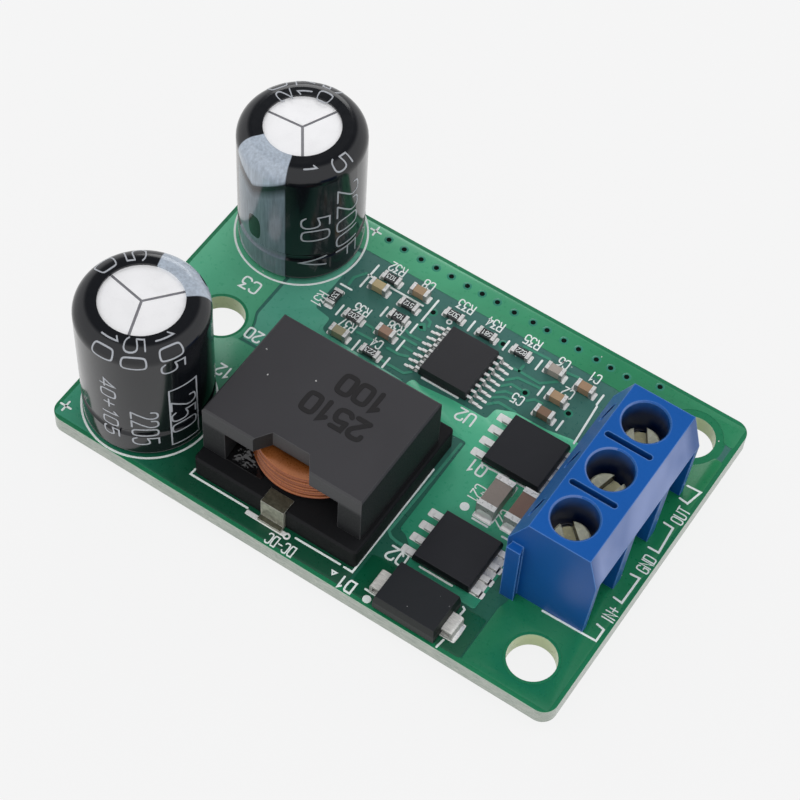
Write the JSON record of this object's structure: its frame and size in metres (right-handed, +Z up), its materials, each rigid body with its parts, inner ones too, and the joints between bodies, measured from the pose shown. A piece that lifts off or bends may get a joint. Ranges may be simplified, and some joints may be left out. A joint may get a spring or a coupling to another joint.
{
  "type": "dc-dc converter module",
  "caption": "Open circuit board power converter with can capacitors, a ferrite inductor, surface-mounted parts and a screw terminal block.",
  "frame": {"origin": "centre of the footprint, at the level of the lead ends under the board", "axes": "+X along the board towards the screw terminal, +Y across it towards the capacitor by the corner, +Z up out of the component side"},
  "size_m": [0.0458, 0.0312, 0.0165],
  "materials": {
    "board": "glossy solder mask",
    "can": "satin",
    "sleeve": "glossy",
    "bung": "matt",
    "tinned_lead": "bright tin",
    "ferrite": "matt ferrite",
    "copper_wire": "enamelled copper",
    "moulding": "matt epoxy",
    "ceramic": "satin ceramic",
    "resistor": "satin glaze",
    "end_metal": "tinned",
    "blue_plastic": "satin",
    "contact_metal": "tinned brass",
    "clamp_metal": "plated steel",
    "screw_metal": "zinc plated",
    "solder": "bright solder"
  },
  "bodies": {
    "converter": {"bulk_capacitor_body_1": "ceramic", "bulk_capacitor_body_2": "ceramic", "bulk_capacitor_ends_1": "end_metal", "bulk_capacitor_ends_2": "end_metal", "capacitor_bung_1": "bung", "capacitor_bung_2": "bung", "capacitor_can_1": "can", "capacitor_can_2": "can", "capacitor_leads_1": "tinned_lead", "capacitor_leads_2": "tinned_lead", "capacitor_sleeve_1": "sleeve", "capacitor_sleeve_2": "sleeve", "chip_capacitor_1": "ceramic", "chip_capacitor_2": "ceramic", "chip_capacitor_3": "ceramic", "chip_capacitor_4": "ceramic", "chip_capacitor_5": "ceramic", "chip_capacitor_6": "ceramic", "chip_capacitor_7": "ceramic", "chip_capacitor_8": "ceramic", "chip_capacitor_ends": "end_metal", "chip_resistor_1": "resistor", "chip_resistor_2": "resistor", "chip_resistor_3": "resistor", "chip_resistor_4": "resistor", "chip_resistor_5": "resistor", "chip_resistor_6": "resistor", "chip_resistor_7": "resistor", "chip_resistor_8": "resistor", "chip_resistor_9": "resistor", "chip_resistor_ends": "end_metal", "circuit_board": "board", "controller_body": "moulding", "controller_leads": "tinned_lead", "controller_pad": "tinned_lead", "diode_body": "moulding", "diode_leads": "tinned_lead", "inductor_base": "ferrite", "inductor_coil": "copper_wire", "inductor_core": "ferrite", "inductor_terminals": "tinned_lead", "solder_joints": "solder", "terminal_contact_1": "contact_metal", "terminal_contact_2": "contact_metal", "terminal_contact_3": "contact_metal", "terminal_housing": "blue_plastic", "transistor_body_1": "moulding", "transistor_body_2": "moulding", "transistor_leads_1": "tinned_lead", "transistor_leads_2": "tinned_lead"},
    "wire_clamp_1": {"wire_clamp_1": "clamp_metal"},
    "clamp_screw_1": {"clamp_screw_1": "screw_metal"},
    "wire_clamp_2": {"wire_clamp_2": "clamp_metal"},
    "clamp_screw_2": {"clamp_screw_2": "screw_metal"},
    "wire_clamp_3": {"wire_clamp_3": "clamp_metal"},
    "clamp_screw_3": {"clamp_screw_3": "screw_metal"}
  },
  "joints": [
    {"name": "clamp_travel_1", "type": "slide", "parent": "converter", "child": "wire_clamp_1", "axis": [0, 0, 1], "range_m": [-0.002, 0.00125]},
    {"name": "screw_turn_1", "type": "hinge", "parent": "wire_clamp_1", "child": "clamp_screw_1", "pos_m": [0.018, -0.00573, 0.0103], "axis": [0, 0, 1], "range_deg": [-1441, 901]},
    {"name": "clamp_travel_2", "type": "slide", "parent": "converter", "child": "wire_clamp_2", "axis": [0, 0, 1], "range_m": [-0.002, 0.00125]},
    {"name": "screw_turn_2", "type": "hinge", "parent": "wire_clamp_2", "child": "clamp_screw_2", "pos_m": [0.018, -0.00072, 0.0103], "axis": [0, 0, 1], "range_deg": [-1441, 901]},
    {"name": "clamp_travel_3", "type": "slide", "parent": "converter", "child": "wire_clamp_3", "axis": [0, 0, 1], "range_m": [-0.002, 0.00125]},
    {"name": "screw_turn_3", "type": "hinge", "parent": "wire_clamp_3", "child": "clamp_screw_3", "pos_m": [0.018, 0.00428, 0.0103], "axis": [0, 0, 1], "range_deg": [-1441, 901]}
  ],
  "couplings": [
    {"joint": "screw_turn_1", "follows": "clamp_travel_1", "rad_per_m": 12566},
    {"joint": "screw_turn_2", "follows": "clamp_travel_2", "rad_per_m": 12566},
    {"joint": "screw_turn_3", "follows": "clamp_travel_3", "rad_per_m": 12566}
  ]
}
